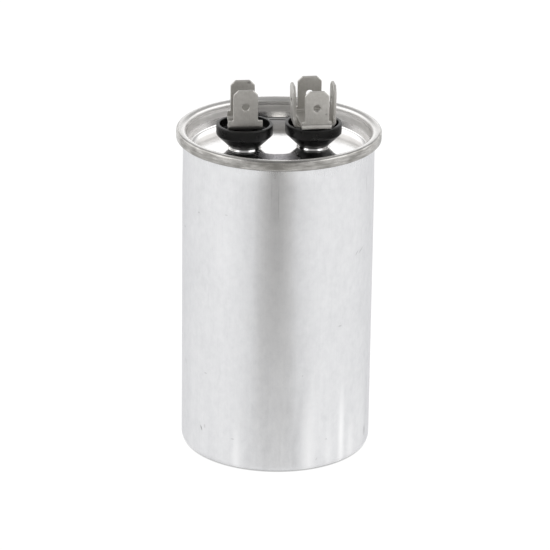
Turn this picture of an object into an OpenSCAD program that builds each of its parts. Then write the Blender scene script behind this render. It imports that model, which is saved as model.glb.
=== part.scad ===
// Round film capacitor in a drawn metal can with a rolled-on lid and push-on terminals.
// The can stands on z = 0, its axis is the Z axis, and the two terminals lie along X.

/* [Can] */
// Outside diameter of the can wall
can_d = 50; // [49:0.5:52]
// Height of the can over its rolled rim
can_h = 86.7; // [84:0.1:110]
// Wall thickness of the can
can_wall = 0.45; // [0.4:0.05:0.5]
// Thickness of the can floor
can_floor = 0.6; // [0.5:0.1:0.8]
// Outside radius of the bottom corner
can_corner = 1.7; // [1.4:0.1:2.2]

/* [Lid] */
// Sheet thickness of the lid
lid_t = 0.35; // [0.3:0.05:0.4]
// Depth of the lid panel below the top of the rim
lid_depth = 5.3; // [5:0.1:6]
// How far the rolled rim stands out from the can wall
seam_out = 1.65; // [1.6:0.05:1.8]
// Height of the rolled rim
seam_h = 2.9; // [2.8:0.05:3.1]
// Height of the pressed collar under each terminal
collar_h = 0.65; // [0.5:0.05:0.8]
// Distance between the two terminals
term_pitch = 17.9; // [17:0.1:18.5]

/* [Insulators] */
// Outside diameter of the insulating cups
cup_d = 14.76; // [14.6:0.02:15]
// Diameter of the opening at the top of each cup
cup_bore = 13; // [12.9:0.1:13.2]
// Height of the straight band of each cup
band_h = 2.65; // [2.6:0.05:2.8]
// Height of the tapered foot of each cup
foot_h = 3.35; // [3.2:0.05:3.6]
// Diameter at the bottom of the tapered foot
foot_d = 8; // [7.8:0.1:8.2]
// Depth of the ring-shaped recess in the top of each cup
cup_recess = 2.4; // [2:0.1:2.5]
// Depth of the terminal seat below the top of each cup
seat_down = 0.65; // [0.5:0.05:0.7]
// Diameter of the seat in the middle of each cup
seat_d = 7.8; // [7.4:0.2:8]

/* [Terminals] */
// Width of each push-on blade
blade_w = 6.3; // [6.2:0.05:6.4]
// Thickness of the blade strip
blade_t = 0.8; // [0.7:0.05:0.8]
// Inside radius of the bends in the left strip and the lower right strap
bend_r = 0.8; // [0.75:0.05:0.8]
// Inside radius of the bends in the upper right strap
upper_bend = 0.3; // [0.2:0.05:0.8]
// Length of each blade above its shoulders
blade_len = 8.2; // [7.8:0.1:8.4]
// Corner chamfer at the tip of each blade
tip_chamfer = 1.25; // [1:0.05:1.4]
// Diameter of the small hole in each blade
hole_d = 1.85; // [1.6:0.05:1.9]
// Distance from the tip of a blade to the centre of its hole
hole_down = 4.6; // [4.1:0.05:4.8]
// Outside distance over the two left blades
double_span = 9.3; // [9:0.1:9.4]
// Width of the front left strip below its shoulders
double_front = 8.8; // [8.4:0.1:9]
// Width of the back left strip below its shoulders
double_back = 7.9; // [7.4:0.1:8.4]
// Height of the left shoulders above the seat
double_rise = 2.8; // [2.6:0.1:3.2]
// Width of the upper right strap below its shoulders
upper_w = 7.7; // [7.4:0.1:7.7]
// Width of the lower right strap below its shoulders
lower_w = 7.2; // [7.1:0.05:7.2]
// Distance from the right rivet to the outside of the front blade
upper_front = 6.9; // [6.4:0.1:7]
// Distance from the right rivet to the outside of the back blade
upper_back = 6.8; // [6.2:0.1:7]
// Height of the upper strap's shoulders above its underside
upper_rise = 2.05; // [2:0.05:2.4]
// Outside distance over the bends of the lower strap
lower_span = 11.1; // [11.1:0.05:11.2]
// Height of the lower strap's shoulders above the seat
lower_rise = 2.85; // [2.5:0.05:3.5]
// Outward lean of the lower strap's blades, in degrees
lower_splay = 0.8; // [0:0.2:2]
// Turn of the right terminal about its rivet, in degrees
right_turn = 2; // [-2:0.5:2]
// Sideways offset of the straps on their rivets
strap_shift = 0.2; // [0:0.05:0.2]

/* [Inside] */
// Outside diameter of the film roll
roll_d = 45; // [43:0.5:45]
// Width of the film, which is the height of the roll
roll_h = 64; // [60:0.5:64]
// Outside diameter of the core tube
core_d = 9; // [8:0.5:10]
// Diameter of the connecting leads
lead_d = 1.4; // [1.2:0.1:1.6]

/* [Hidden] */
$fn = 96;

can_r = can_d / 2;
bore_r = can_r - can_wall;          // inside radius of the can
rim_r = can_r + seam_out;           // outside radius of the rolled rim
slack = 0.03;                       // space between the folded layers of the seam
neck = 0.03;                        // how far the can wall draws in inside the seam
fold_in = (lid_t + neck) / 2 + slack; // inside radius of the can's own fold
fold_out = fold_in + can_wall;      // outside radius of the can's own fold
fold_x = can_r - neck + fold_in;    // radius at which both folds are centred
cap_r = fold_out + slack + lid_t;   // rounding inside the rim, seen from above
fold_z = can_h - cap_r;             // height at which both folds are centred
crown = 1.46;                       // width of the rim's rounding towards the lid
brow_x = 0.82;                      // width of the rim's outside rounding
brow_z = 0.74;                      // height of the rim's outside rounding
edge_r = 0.6;                       // the same rounding, taken inside the sheet
rim_z = can_h - seam_h;             // bottom of the rolled rim
neck_z = rim_z - 0.3;               // height at which the can wall starts to draw in
curl_out = (seam_out - slack) / 2;  // outside radius of the lid's bottom curl
curl_in = curl_out - lid_t;         // inside radius of the lid's bottom curl
curl_x = rim_r - curl_out;          // radius at which that curl is centred
curl_z = rim_z + curl_out;          // height at which that curl is centred
hook_top = fold_z - 0.15;           // top of the lid's hook inside the seam
hook_end = curl_z + 0.2;            // bottom of the can's hook inside the seam

panel_z = can_h - lid_depth;        // top of the lid panel
groove = 0.15;                      // depth of the ring groove round the panel
wall_x = can_r - 1.55;              // radius of the sloping inner wall at its foot
wall_z = can_h - 1.7;               // height at which that wall turns upright
foot_r = 0.6;                       // rounding at the foot of that wall
collar_z = panel_z + collar_h;      // top of the pressed collars
collar_r = 4.25;                    // foot radius of the pressed collars
under_z = panel_z - lid_t;          // underside of the lid panel

term_x = term_pitch / 2;
cup_r = cup_d / 2;
spigot_r = 2.9;                     // part of each insulator inside the lid's hole
gasket_r = 3.6;
gasket_h = 0.5;
shank_r = 1.5;                      // rivet shank
head_r = 2.2;
head_h = 0.9;
tail_r = 2.5;
tail_h = 0.85;
washer_r = 6;
washer_h = 1.2;
tail_z = under_z - washer_h - tail_h;

cup_top = collar_z + foot_h + band_h;         // top of each cup
seat_z = cup_top - seat_down;                 // underside of the terminals

cup_floor = can_floor + 1;                    // top of the bottom cup's floor
spray_t = 0.6;
spray_z = cup_floor + 2.4;                    // underside of the bottom contact layer
roll_z = spray_z + spray_t;
roll_top = roll_z + roll_h;
pack_top = roll_top + spray_t;                // top of the upper contact layer
roll_r = roll_d / 2;
core_r = core_d / 2;
sleeve_r = roll_r + 0.6;
plate_z = pack_top + 3.5;
plate_t = 1.5;
lead_r = lead_d / 2;
elbow = 2;                                    // bend radius of the leads

ALU = [0.83, 0.84, 0.86];
TIN = [0.72, 0.71, 0.69];
BLACK = [0.08, 0.08, 0.09];
TABS = [0.64, 0.62, 0.59];
FILM = [0.80, 0.82, 0.84];
ZINC = [0.56, 0.57, 0.60];
PLAST = [0.93, 0.92, 0.88];
WIRE = [0.76, 0.46, 0.28];

// Points along an arc, from angle a to angle b
function arc(x, z, r, a, b, n = 8) =
    [for (i = [0:n]) let (t = a + (b - a) * i / n) [x + r * cos(t), z + r * sin(t)]];

// The same along an ellipse
function oval(x, z, rx, rz, a, b, n = 12) =
    [for (i = [0:n]) let (t = a + (b - a) * i / n) [x + rx * cos(t), z + rz * sin(t)]];

module ring(r0, r1, z0, z1) {
    rotate_extrude() translate([r0, z0]) square([r1 - r0, z1 - z0]);
}

// Drawn can with its upper edge folded outwards and down
module can() {
    ci = can_corner - can_floor;
    color(ALU) rotate_extrude() polygon(concat(
        [[0, 0]],
        arc(can_r - can_corner, can_corner, can_corner, -90, 0),
        [[can_r, neck_z]],
        arc(fold_x, fold_z, fold_in, 180, 0),
        [[fold_x + fold_in, hook_end], [fold_x + fold_out, hook_end]],
        arc(fold_x, fold_z, fold_out, 0, 180, 12),
        [[bore_r, neck_z]],
        arc(bore_r - ci, can_floor + ci, ci, 0, -90),
        [[0, can_floor]]));
}

// Section of the lid sheet from the middle of the panel to the end of its hook
module lid_sheet() {
    fz = panel_z - groove + foot_r;
    fx = wall_x - foot_r;
    inner = fold_x - cap_r;
    polygon(concat(
        [[0, panel_z], [fx - 1.1, panel_z], [fx - 0.8, panel_z - groove]],
        arc(fx, fz, foot_r, -90, -12),
        [[inner + 0.01, wall_z]],
        oval(inner + crown, fold_z, crown, cap_r, 180, 90, 14),
        oval(rim_r - brow_x, can_h - brow_z, brow_x, brow_z, 90, 0, 10),
        arc(curl_x, curl_z, curl_out, 0, -180, 16),
        [[can_r + slack, hook_top], [can_r + slack + lid_t, hook_top]],
        arc(curl_x, curl_z, curl_in, -180, 0, 16),
        arc(rim_r - edge_r, can_h - edge_r, edge_r - lid_t, 0, 90),
        arc(fold_x, fold_z, cap_r - lid_t, 90, 180, 12),
        [[inner + lid_t, wall_z]],
        arc(fx, fz, foot_r + lid_t, -12, -90),
        [[fx - 0.9, under_z - groove], [fx - 1.2, under_z], [0, under_z]]));
}

module lid() {
    color(TIN) difference() {
        union() {
            rotate_extrude() lid_sheet();
            for (s = [-1, 1]) translate([s * term_x, 0, under_z + 0.05])
                cylinder(r1 = collar_r, r2 = collar_r - 0.2, h = collar_z - under_z - 0.05);
        }
        for (s = [-1, 1]) translate([s * term_x, 0, under_z - 1]) {
            cylinder(r1 = collar_r - 0.2, r2 = collar_r - 0.5, h = collar_z - lid_t - under_z + 1);
            cylinder(r = spigot_r + 0.1, h = 4);
        }
    }
}

// Sealing compound between the can's hook and the lid
module seam_seal() {
    color([0.75, 0.72, 0.62])
        ring(fold_x + fold_out, rim_r - lid_t, curl_z + 0.3, fold_z - 0.05);
}

// Moulded cup: spigot, seal recess, tapered foot, straight band, and a seat in a ring-shaped recess
module cup() {
    b = cup_bore / 2;
    rotate_extrude() polygon([
        [shank_r, under_z], [spigot_r, under_z],
        [spigot_r, collar_z + gasket_h], [gasket_r, collar_z + gasket_h],
        [gasket_r, collar_z], [foot_d / 2, collar_z],
        [cup_r - 0.15, collar_z + foot_h - 0.15], [cup_r, collar_z + foot_h + 0.15],
        [cup_r, cup_top - 0.15], [cup_r - 0.15, cup_top],
        [b + 0.1, cup_top], [b, cup_top - 0.1],
        [b, cup_top - cup_recess], [seat_d / 2, cup_top - cup_recess],
        [seat_d / 2, seat_z], [shank_r, seat_z]]);
}

module insulator_left() { color(BLACK) translate([-term_x, 0, 0]) cup(); }
module insulator_right() { color(BLACK) translate([term_x, 0, 0]) cup(); }

// What is cut from the strip above its shoulders: all but the blade, and the small hole
module blade_cut(shoulder, shoulder_z, len) {
    w = blade_w / 2;
    c = tip_chamfer;
    f = min(0.35, shoulder / 2 - w - 0.05);
    difference() {
        translate([-shoulder, shoulder_z]) square([2 * shoulder, len]);
        polygon([
            [-w - f, shoulder_z - 1], [w + f, shoulder_z - 1],
            [w + f, shoulder_z], [w, shoulder_z + f],
            [w, len - c], [w - c, len], [c - w, len], [-w, len - c],
            [-w, shoulder_z + f], [-w - f, shoulder_z]]);
    }
    translate([0, len - hole_down]) circle(d = hole_d);
}

// One leg of a terminal, bent up from the base plate and leaning outwards by s degrees
module leg(reach, shoulder, shoulder_z, len, s, br) {
    bo = br + blade_t;
    cx = reach - bo;
    tip = [cx, bo] + len * [sin(s), cos(s)];
    difference() {
        rotate([90, 0, 0]) linear_extrude(shoulder, center = true) polygon(concat(
            [[-1, 0]],
            arc(cx, bo, bo, -90, -s),
            [tip + bo * [cos(s), -sin(s)], tip + br * [cos(s), -sin(s)]],
            arc(cx, bo, br, -s, -90),
            [[-1, blade_t]]));
        translate([cx, 0, bo]) rotate([0, s, 0]) translate([br - 1, 0, 0])
            rotate([90, 0, 90]) linear_extrude(blade_t + 2) blade_cut(shoulder, shoulder_z, len);
    }
}

// Strap folded up into two blades, one towards -Y and one towards +Y before its turn
module strap(turn, front, back, wide_f, wide_b, rise, s, br) {
    h = rise - br - blade_t;
    difference() {
        translate([-strap_shift, 0, 0]) {
            rotate([0, 0, turn - 90]) leg(front, wide_f, h, h + blade_len, s, br);
            rotate([0, 0, turn + 90]) leg(back, wide_b, h, h + blade_len, s, br);
        }
        translate([0, 0, -1]) cylinder(r = shank_r, h = 3);
    }
}

module terminal_double() {
    color(TABS) translate([-term_x, 0, seat_z])
        strap(0, double_span / 2, double_span / 2, double_front, double_back,
              double_rise, 0, bend_r);
}

// Two crossed straps: the lower one has its blades along X, the upper one along Y
module terminal_lower() {
    color(TABS) translate([term_x, 0, seat_z])
        strap(right_turn + 90, lower_span / 2, lower_span / 2, lower_w, lower_w,
              lower_rise, lower_splay, bend_r);
}
module terminal_upper() {
    color(TABS) translate([term_x, 0, seat_z + blade_t])
        strap(right_turn, upper_front, upper_back, upper_w, upper_w,
              upper_rise, 0, upper_bend);
}

// Rivet: head on the terminal, shank through the insulator, spread tail under the washer
module rivet(top) {
    rotate_extrude() polygon([
        [0, tail_z], [tail_r - 0.3, tail_z], [tail_r, tail_z + 0.3],
        [tail_r, tail_z + tail_h], [shank_r, tail_z + tail_h],
        [shank_r, top], [head_r, top],
        [head_r, top + head_h - 0.4], [head_r - 0.5, top + head_h],
        [0, top + head_h]]);
}

module rivet_left() { color(TABS) translate([-term_x, 0, 0]) rivet(seat_z + blade_t); }
module rivet_right() { color(TABS) translate([term_x, 0, 0]) rivet(seat_z + 2 * blade_t); }

module gasket_left() {
    color([0.2, 0.2, 0.2]) translate([-term_x, 0, 0])
        ring(spigot_r, gasket_r, collar_z, collar_z + gasket_h);
}
module gasket_right() {
    color([0.2, 0.2, 0.2]) translate([term_x, 0, 0])
        ring(spigot_r, gasket_r, collar_z, collar_z + gasket_h);
}

module inner_washer_left() {
    color(PLAST) translate([-term_x, 0, 0]) ring(shank_r, washer_r, under_z - washer_h, under_z);
}
module inner_washer_right() {
    color(PLAST) translate([term_x, 0, 0]) ring(shank_r, washer_r, under_z - washer_h, under_z);
}

// Plastic cap on the roll: disc with a skirt, and a hole for each lead
module interrupter_plate() {
    color(PLAST) difference() {
        rotate_extrude() polygon([
            [0, plate_z], [roll_r - 1, plate_z], [roll_r - 1, pack_top],
            [sleeve_r, pack_top], [sleeve_r, plate_z + plate_t - 0.4],
            [sleeve_r - 0.4, plate_z + plate_t], [0, plate_z + plate_t]]);
        for (s = [-1, 1]) translate([s * term_x, 0, plate_z - 1])
            cylinder(r = lead_r + 0.3, h = plate_t + 2);
    }
}

// Quarter turn of a lead in the XZ plane: from pointing down to pointing along +X
module lead_elbow() {
    translate([elbow, 0, 0]) rotate([90, 0, 0]) rotate([0, 0, 180])
        rotate_extrude(angle = 90) translate([elbow, 0]) circle(lead_r);
}

// From the left rivet down to the top contact layer, with its foot lying on the layer
module lead_short() {
    z = pack_top + lead_r;
    color(WIRE) translate([-term_x, 0, 0]) {
        translate([0, 0, z + elbow]) cylinder(r = lead_r, h = tail_z - z - elbow);
        mirror([1, 0, 0]) translate([0, 0, z + elbow]) lead_elbow();
        translate([-elbow - 5, 0, z]) rotate([0, 90, 0]) cylinder(r = lead_r, h = 5);
    }
}

// From the right rivet down, across the top of the roll, down the core and out under the roll
module lead_long() {
    z = pack_top + 1.6;
    zb = spray_z - lead_r;
    color(WIRE) {
        translate([term_x, 0, z + elbow]) cylinder(r = lead_r, h = tail_z - z - elbow);
        translate([term_x, 0, z + elbow]) mirror([1, 0, 0]) lead_elbow();
        translate([elbow, 0, z]) rotate([0, 90, 0]) cylinder(r = lead_r, h = term_x - 2 * elbow);
        translate([0, 0, z - elbow]) mirror([0, 0, 1]) lead_elbow();
        translate([0, 0, zb + elbow]) cylinder(r = lead_r, h = z - zb - 2 * elbow);
        translate([0, 0, zb + elbow]) lead_elbow();
        translate([elbow, 0, zb]) rotate([0, 90, 0]) cylinder(r = lead_r, h = 8);
    }
}

// Metallised film wound on the core, all turns as one body
module winding() { color(FILM) ring(core_r, roll_r, roll_z, roll_top); }
module winding_core() { color(PLAST) ring(core_r - 1.5, core_r, spray_z, pack_top); }
module end_spray_top() { color(ZINC) ring(core_r, roll_r, roll_top, pack_top); }
module end_spray_bottom() { color(ZINC) ring(core_r, roll_r, spray_z, roll_z); }
module winding_sleeve() { color([0.86, 0.80, 0.66]) ring(roll_r, sleeve_r, spray_z, pack_top); }

// Plastic cup with a standing ring that carries the roll
module bottom_cup() {
    r = bore_r - 0.25;
    color(PLAST) rotate_extrude() polygon([
        [0, can_floor], [r - 1.4, can_floor], [r, can_floor + 1.4], [r, can_floor + 10],
        [r - 0.6, can_floor + 10], [r - 0.6, can_floor + 1.7], [r - 1.3, cup_floor],
        [roll_r - 1.5, cup_floor], [roll_r - 1.5, spray_z], [roll_r - 3.5, spray_z],
        [roll_r - 3.5, cup_floor], [0, cup_floor]]);
}

can();
lid();
seam_seal();
insulator_left();
insulator_right();
terminal_double();
terminal_lower();
terminal_upper();
rivet_left();
rivet_right();
gasket_left();
gasket_right();
inner_washer_left();
inner_washer_right();
interrupter_plate();
lead_short();
lead_long();
winding();
winding_core();
end_spray_top();
end_spray_bottom();
winding_sleeve();
bottom_cup();
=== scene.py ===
# Looks of a round film capacitor: drawn can, rolled-on lid, two black cups and six push-on blades.
# Lengths are written in millimetres and turned into metres where meshes are made.
import math

import bmesh
import bpy
import numpy as np
from mathutils import Matrix, Vector, noise
from mathutils.geometry import delaunay_2d_cdt


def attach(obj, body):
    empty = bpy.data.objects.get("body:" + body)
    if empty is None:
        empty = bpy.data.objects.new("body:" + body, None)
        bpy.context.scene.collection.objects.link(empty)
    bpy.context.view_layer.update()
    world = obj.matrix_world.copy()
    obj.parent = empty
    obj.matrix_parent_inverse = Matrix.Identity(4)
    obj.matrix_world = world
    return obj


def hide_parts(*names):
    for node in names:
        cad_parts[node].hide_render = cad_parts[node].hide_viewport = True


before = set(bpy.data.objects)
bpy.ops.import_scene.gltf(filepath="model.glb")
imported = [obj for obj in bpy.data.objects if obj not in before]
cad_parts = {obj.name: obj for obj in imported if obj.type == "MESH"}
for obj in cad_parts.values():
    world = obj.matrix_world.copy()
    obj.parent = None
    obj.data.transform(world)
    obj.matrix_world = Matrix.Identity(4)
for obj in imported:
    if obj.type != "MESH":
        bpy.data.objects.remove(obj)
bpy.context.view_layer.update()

MM = 0.001
RAD = math.pi / 180

# ---------------------------------------------------------------- sizes, the same as the solids'
CAN_R, BORE_R, CORNER, FLOOR = 25.0, 24.55, 1.7, 0.6
CAN_H, RIM_R, LID_T, SLACK, NECK = 86.7, 26.65, 0.35, 0.03, 0.03
FOLD_IN = (LID_T + NECK) / 2 + SLACK
FOLD_OUT = FOLD_IN + 0.45
FOLD_X = CAN_R - NECK + FOLD_IN
CAP_R = FOLD_OUT + SLACK + LID_T
FOLD_Z = CAN_H - CAP_R
EDGE_R = 0.6
RIM_Z = CAN_H - 2.9
NECK_Z = RIM_Z - 0.3
CURL_OUT = (1.65 - SLACK) / 2
CURL_IN = CURL_OUT - LID_T
CURL_X = RIM_R - CURL_OUT
CURL_Z = RIM_Z + CURL_OUT
HOOK_TOP = FOLD_Z - 0.15
HOOK_END = CURL_Z + 0.2
PANEL_Z = CAN_H - 5.3
UNDER_Z = PANEL_Z - LID_T
GROOVE = 0.15
FOOT_R = 0.6
WALL_X = CAN_R - 1.55
WALL_Z = CAN_H - 1.7
COLLAR_Z = PANEL_Z + 0.65
TERM_X = 17.9 / 2
CUP_TOP = COLLAR_Z + 3.35 + 2.65
SEAT_Z = CUP_TOP - 0.65
BLADE_T, BEND_R, UPPER_BEND, HOLE_DOWN = 0.8, 0.8, 0.3, 4.6


# ---------------------------------------------------------------- mesh helpers
def arc(x, z, r, a, b, n=10):
    return [(x + r * math.cos((a + (b - a) * i / n) * RAD), z + r * math.sin((a + (b - a) * i / n) * RAD)) for i in range(n + 1)]


def oval(x, z, rx, rz, a, b, n=12):
    return [(x + rx * math.cos((a + (b - a) * i / n) * RAD), z + rz * math.sin((a + (b - a) * i / n) * RAD)) for i in range(n + 1)]


def rounded(points, radii, n=5, closed=True):
    """A polygon with each corner rounded to its own radius."""
    out, count = [], len(points)
    for i, (p, r) in enumerate(zip(points, radii)):
        p = np.array(p, float)
        if r <= 0 or (not closed and i in (0, count - 1)):
            out.append(tuple(p))
            continue
        a = np.array(points[i - 1], float) - p
        b = np.array(points[(i + 1) % count], float) - p
        la, lb = np.linalg.norm(a), np.linalg.norm(b)
        a, b = a / la, b / lb
        half = math.acos(max(-1.0, min(1.0, float(a @ b)))) / 2
        reach = min(r / math.tan(half), 0.49 * la, 0.49 * lb)
        r = reach * math.tan(half)
        centre = p + (a + b) / np.linalg.norm(a + b) * (r / math.sin(half))
        start, end = p + a * reach - centre, p + b * reach - centre
        a0, a1 = math.atan2(start[1], start[0]), math.atan2(end[1], end[0])
        turn = (a1 - a0 + math.pi) % (2 * math.pi) - math.pi
        for k in range(n + 1):
            t = a0 + turn * k / n
            out.append((centre[0] + r * math.cos(t), centre[1] + r * math.sin(t)))
    return out


def split(points, step):
    """The same open line with points no further apart than step."""
    out = [points[0]]
    for p, q in zip(points, points[1:]):
        n = max(1, math.ceil(math.dist(p, q) / step))
        out += [(p[0] + (q[0] - p[0]) * k / n, p[1] + (q[1] - p[1]) * k / n) for k in range(1, n + 1)]
    return out


class Builder:
    """Collects vertices in mm and faces, then makes one closed object of them."""

    def __init__(self):
        self.v, self.f = [], []

    def add(self, x, y, z):
        self.v.append((x, y, z))
        return len(self.v) - 1

    def bridge(self, a, b, closed=True):
        n = len(a)
        for i in range(n if closed else n - 1):
            j = (i + 1) % n
            face = [a[i], a[j], b[j], b[i]]
            face = [x for k, x in enumerate(face) if x not in face[:k]]
            if len(face) > 2:
                self.f.append(face)

    def lathe(self, profile, n, cx=0.0, cy=0.0, closed=False, shape=None):
        """Turns a profile of (radius, height) points about a vertical axis. Returns its rings."""
        rings = []
        for r, z in profile:
            if r < 1e-6:
                rings.append([self.add(cx, cy, z)] * n)
                continue
            ring = []
            for k in range(n):
                t = 2 * math.pi * k / n
                rr, zz = (r, z) if shape is None else shape(r, z, t)
                ring.append(self.add(cx + rr * math.cos(t), cy + rr * math.sin(t), zz))
            rings.append(ring)
        for a, b in zip(rings, rings[1:]):
            self.bridge(a, b)
        if closed:
            self.bridge(rings[-1], rings[0])
        return rings

    def make(self, name, sharp=32):
        mesh = bpy.data.meshes.new(name)
        bm = bmesh.new()
        vs = [bm.verts.new((x * MM, y * MM, z * MM)) for x, y, z in self.v]
        for face in self.f:
            try:
                bm.faces.new([vs[i] for i in face])
            except ValueError:
                pass
        loose = [v for v in bm.verts if not v.link_faces]
        bmesh.ops.delete(bm, geom=loose, context="VERTS")
        bmesh.ops.remove_doubles(bm, verts=bm.verts, dist=1e-7)
        bmesh.ops.recalc_face_normals(bm, faces=bm.faces)
        bm.to_mesh(mesh)
        bm.free()
        mesh.polygons.foreach_set("use_smooth", [True] * len(mesh.polygons))
        mesh.set_sharp_from_angle(angle=sharp * RAD)
        obj = bpy.data.objects.new(name, mesh)
        bpy.context.scene.collection.objects.link(obj)
        return obj


def wave(t, z, seed, scale=1.0):
    """Slow unevenness round the can, from -1 to 1, the same on every run."""
    return noise.noise(Vector((math.cos(t) * scale + seed, math.sin(t) * scale - seed, z)))


# ---------------------------------------------------------------- can
def make_can():
    ci = CORNER - FLOOR
    wall = split([(CAN_R, CORNER), (CAN_R, 70.0)], 2.0) + split([(CAN_R, 70.0), (CAN_R, NECK_Z)], 0.4)[1:]
    profile = (
        [(0, 0), (8, 0), (16, 0), (21, 0)]
        + arc(CAN_R - CORNER, CORNER, CORNER, -90, 0, 14)
        + wall[1:]
        + arc(FOLD_X, FOLD_Z, FOLD_IN, 180, 0, 8)
        + [(FOLD_X + FOLD_IN, HOOK_END), (FOLD_X + FOLD_OUT, HOOK_END)]
        + arc(FOLD_X, FOLD_Z, FOLD_OUT, 0, 180, 12)
        + [(BORE_R, NECK_Z)]
        + arc(BORE_R - ci, FLOOR + ci, ci, 0, -90, 8)
        + [(0, FLOOR)]
    )

    def shape(r, z, t):
        if 4 < z < NECK_Z - 1 and r > 24.9:
            fade = min(1.0, (z - 4) / 6, (NECK_Z - 1 - z) / 6)
            r -= fade * (0.012 + 0.012 * wave(t, z * 0.03, 3.1, 1.6))
        if r > 24.9 and 70 < z < NECK_Z:
            # drawn in a little under the seam, and flared back out to it
            k = (z - 70) / 9.5
            r -= 0.12 * (k * k * (3 - 2 * k) if k < 1 else max(0.0, 1 - ((z - 79.5) / (NECK_Z - 79.5)) ** 2))
        return r, z

    b = Builder()
    b.lathe(profile, 256, shape=shape)
    return b.make("can_shell", 40)


# ---------------------------------------------------------------- lid
DOME = 0.10


def panel_height(x, y):
    r = math.hypot(x, y) / (WALL_X - FOOT_R - 1.1)
    crown = DOME * max(0.0, 1 - r ** 2)
    return crown + 0.012 * noise.noise(Vector((x * 0.16, y * 0.16, 4.2))) * max(0.0, 1 - r ** 8)


def make_lid():
    b = Builder()
    fz, fx = PANEL_Z - GROOVE + FOOT_R, WALL_X - FOOT_R
    wall_top = FOLD_X - CAP_R
    sheet = (
        [(fx - 1.1, PANEL_Z), (fx - 1.03, PANEL_Z - 0.008), (fx - 0.87, PANEL_Z - GROOVE + 0.008), (fx - 0.8, PANEL_Z - GROOVE)]
        + split(arc(fx, fz, FOOT_R, -90, -12, 10) + [(wall_top - 0.03, WALL_Z - 0.16)], 0.7)
        + [(wall_top + 0.02, WALL_Z - 0.05), (wall_top - 0.02, WALL_Z + 0.03), (wall_top - 0.05, WALL_Z + 0.12)]
        + split([(wall_top - 0.04, WALL_Z + 0.3), (wall_top, FOLD_Z)], 0.2)[:-1]
        + oval(wall_top + 1.46, FOLD_Z, 1.46, CAP_R, 180, 90, 18)
        + oval(RIM_R - 0.82, CAN_H - 0.74, 0.82, 0.74, 90, 0, 12)
        + arc(CURL_X, CURL_Z, CURL_OUT, 0, -180, 22)
        + [(CAN_R + SLACK, HOOK_TOP), (CAN_R + SLACK + LID_T, HOOK_TOP)]
        + arc(CURL_X, CURL_Z, CURL_IN, -180, 0, 16)
        + arc(RIM_R - EDGE_R, CAN_H - EDGE_R, EDGE_R - LID_T, 0, 90, 8)
        + arc(FOLD_X, FOLD_Z, CAP_R - LID_T, 90, 180, 12)
        + [(wall_top + LID_T, WALL_Z)]
        + arc(fx, fz, FOOT_R + LID_T, -12, -90, 8)
        + [(fx - 0.9, UNDER_Z - GROOVE), (fx - 1.2, UNDER_Z)]
    )

    def shape(r, z, t):
        if r > 26.0 and z > RIM_Z - 0.1:
            r -= 0.018 * (1 + wave(t, z * 0.25, 7.7, 6.0))
        elif 23.4 < r < 24.2 and 82.2 < z < 84.7:
            r -= 0.015 * wave(t, z * 0.3, 1.3, 4.0) * min(1.0, (z - 82.2), (84.7 - z))
        return r, z

    n, m = 288, 96
    rings = b.lathe(sheet, n, shape=shape)
    top, under = rings[0], rings[-1]

    collar_rings = {}
    for s in (-1, 1):
        cx = s * TERM_X
        profile = rounded(
            [(4.55, PANEL_Z), (4.26, PANEL_Z), (4.06, COLLAR_Z), (3.0, COLLAR_Z), (3.0, COLLAR_Z - LID_T),
             (3.75, COLLAR_Z - LID_T), (3.868, UNDER_Z)],
            [0, 0.12, 0.14, 0, 0, 0.1, 0], 5, closed=False)

        def lift(r, z, t, cx=cx):
            if z < PANEL_Z + 0.5 and r > 4.0:
                share = max(0.0, min(1.0, (PANEL_Z + 0.35 - z) / 0.35))
                z += share * panel_height(cx + r * math.cos(t), r * math.sin(t))
            return r, z

        collar_rings[s] = b.lathe(profile, m, cx=cx, shape=lift)

    def fill(outer, loops, z_of):
        ids = list(outer) + [i for loop in loops for i in loop]
        pts = [(b.v[i][0], b.v[i][1]) for i in ids]
        edges, start = [], 0
        for loop in [outer] + loops:
            k = len(loop)
            edges += [(start + i, start + (i + 1) % k) for i in range(k)]
            start += k
        reach = math.hypot(*pts[0])
        extra = []
        for gy in np.arange(-22, 22.1, 0.9):
            for gx in np.arange(-22, 22.1, 0.9):
                x = float(gx) + (0.45 if int(round(gy / 0.9)) % 2 else 0.0)
                y = float(gy)
                if math.hypot(x, y) > reach - 0.45:
                    continue
                if any(math.hypot(x - s * TERM_X, y) < 4.95 for s in (-1, 1)):
                    continue
                extra.append((x, y))
        verts, _, faces, source, _, _ = delaunay_2d_cdt([Vector(p) for p in pts + extra], edges, [], 1, 1e-5)
        index = []
        for v, src in zip(verts, source):
            known = [i for i in src if i < len(ids)]
            index.append(ids[known[0]] if known else b.add(v.x, v.y, z_of(v.x, v.y)))
        for f in faces:
            x = sum(verts[i].x for i in f) / len(f)
            y = sum(verts[i].y for i in f) / len(f)
            if any(math.hypot(x - s * TERM_X, y) < 3.85 for s in (-1, 1)):
                continue
            b.f.append([index[i] for i in f])

    fill(top, [collar_rings[s][0] for s in (-1, 1)], lambda x, y: PANEL_Z + panel_height(x, y))
    fill(under, [collar_rings[s][-1] for s in (-1, 1)], lambda x, y: UNDER_Z + panel_height(x, y) * min(1.0, min(math.hypot(x - s * TERM_X, y) for s in (-1, 1)) - 3.868))
    return b.make("lid_pressing", 38)


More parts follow.
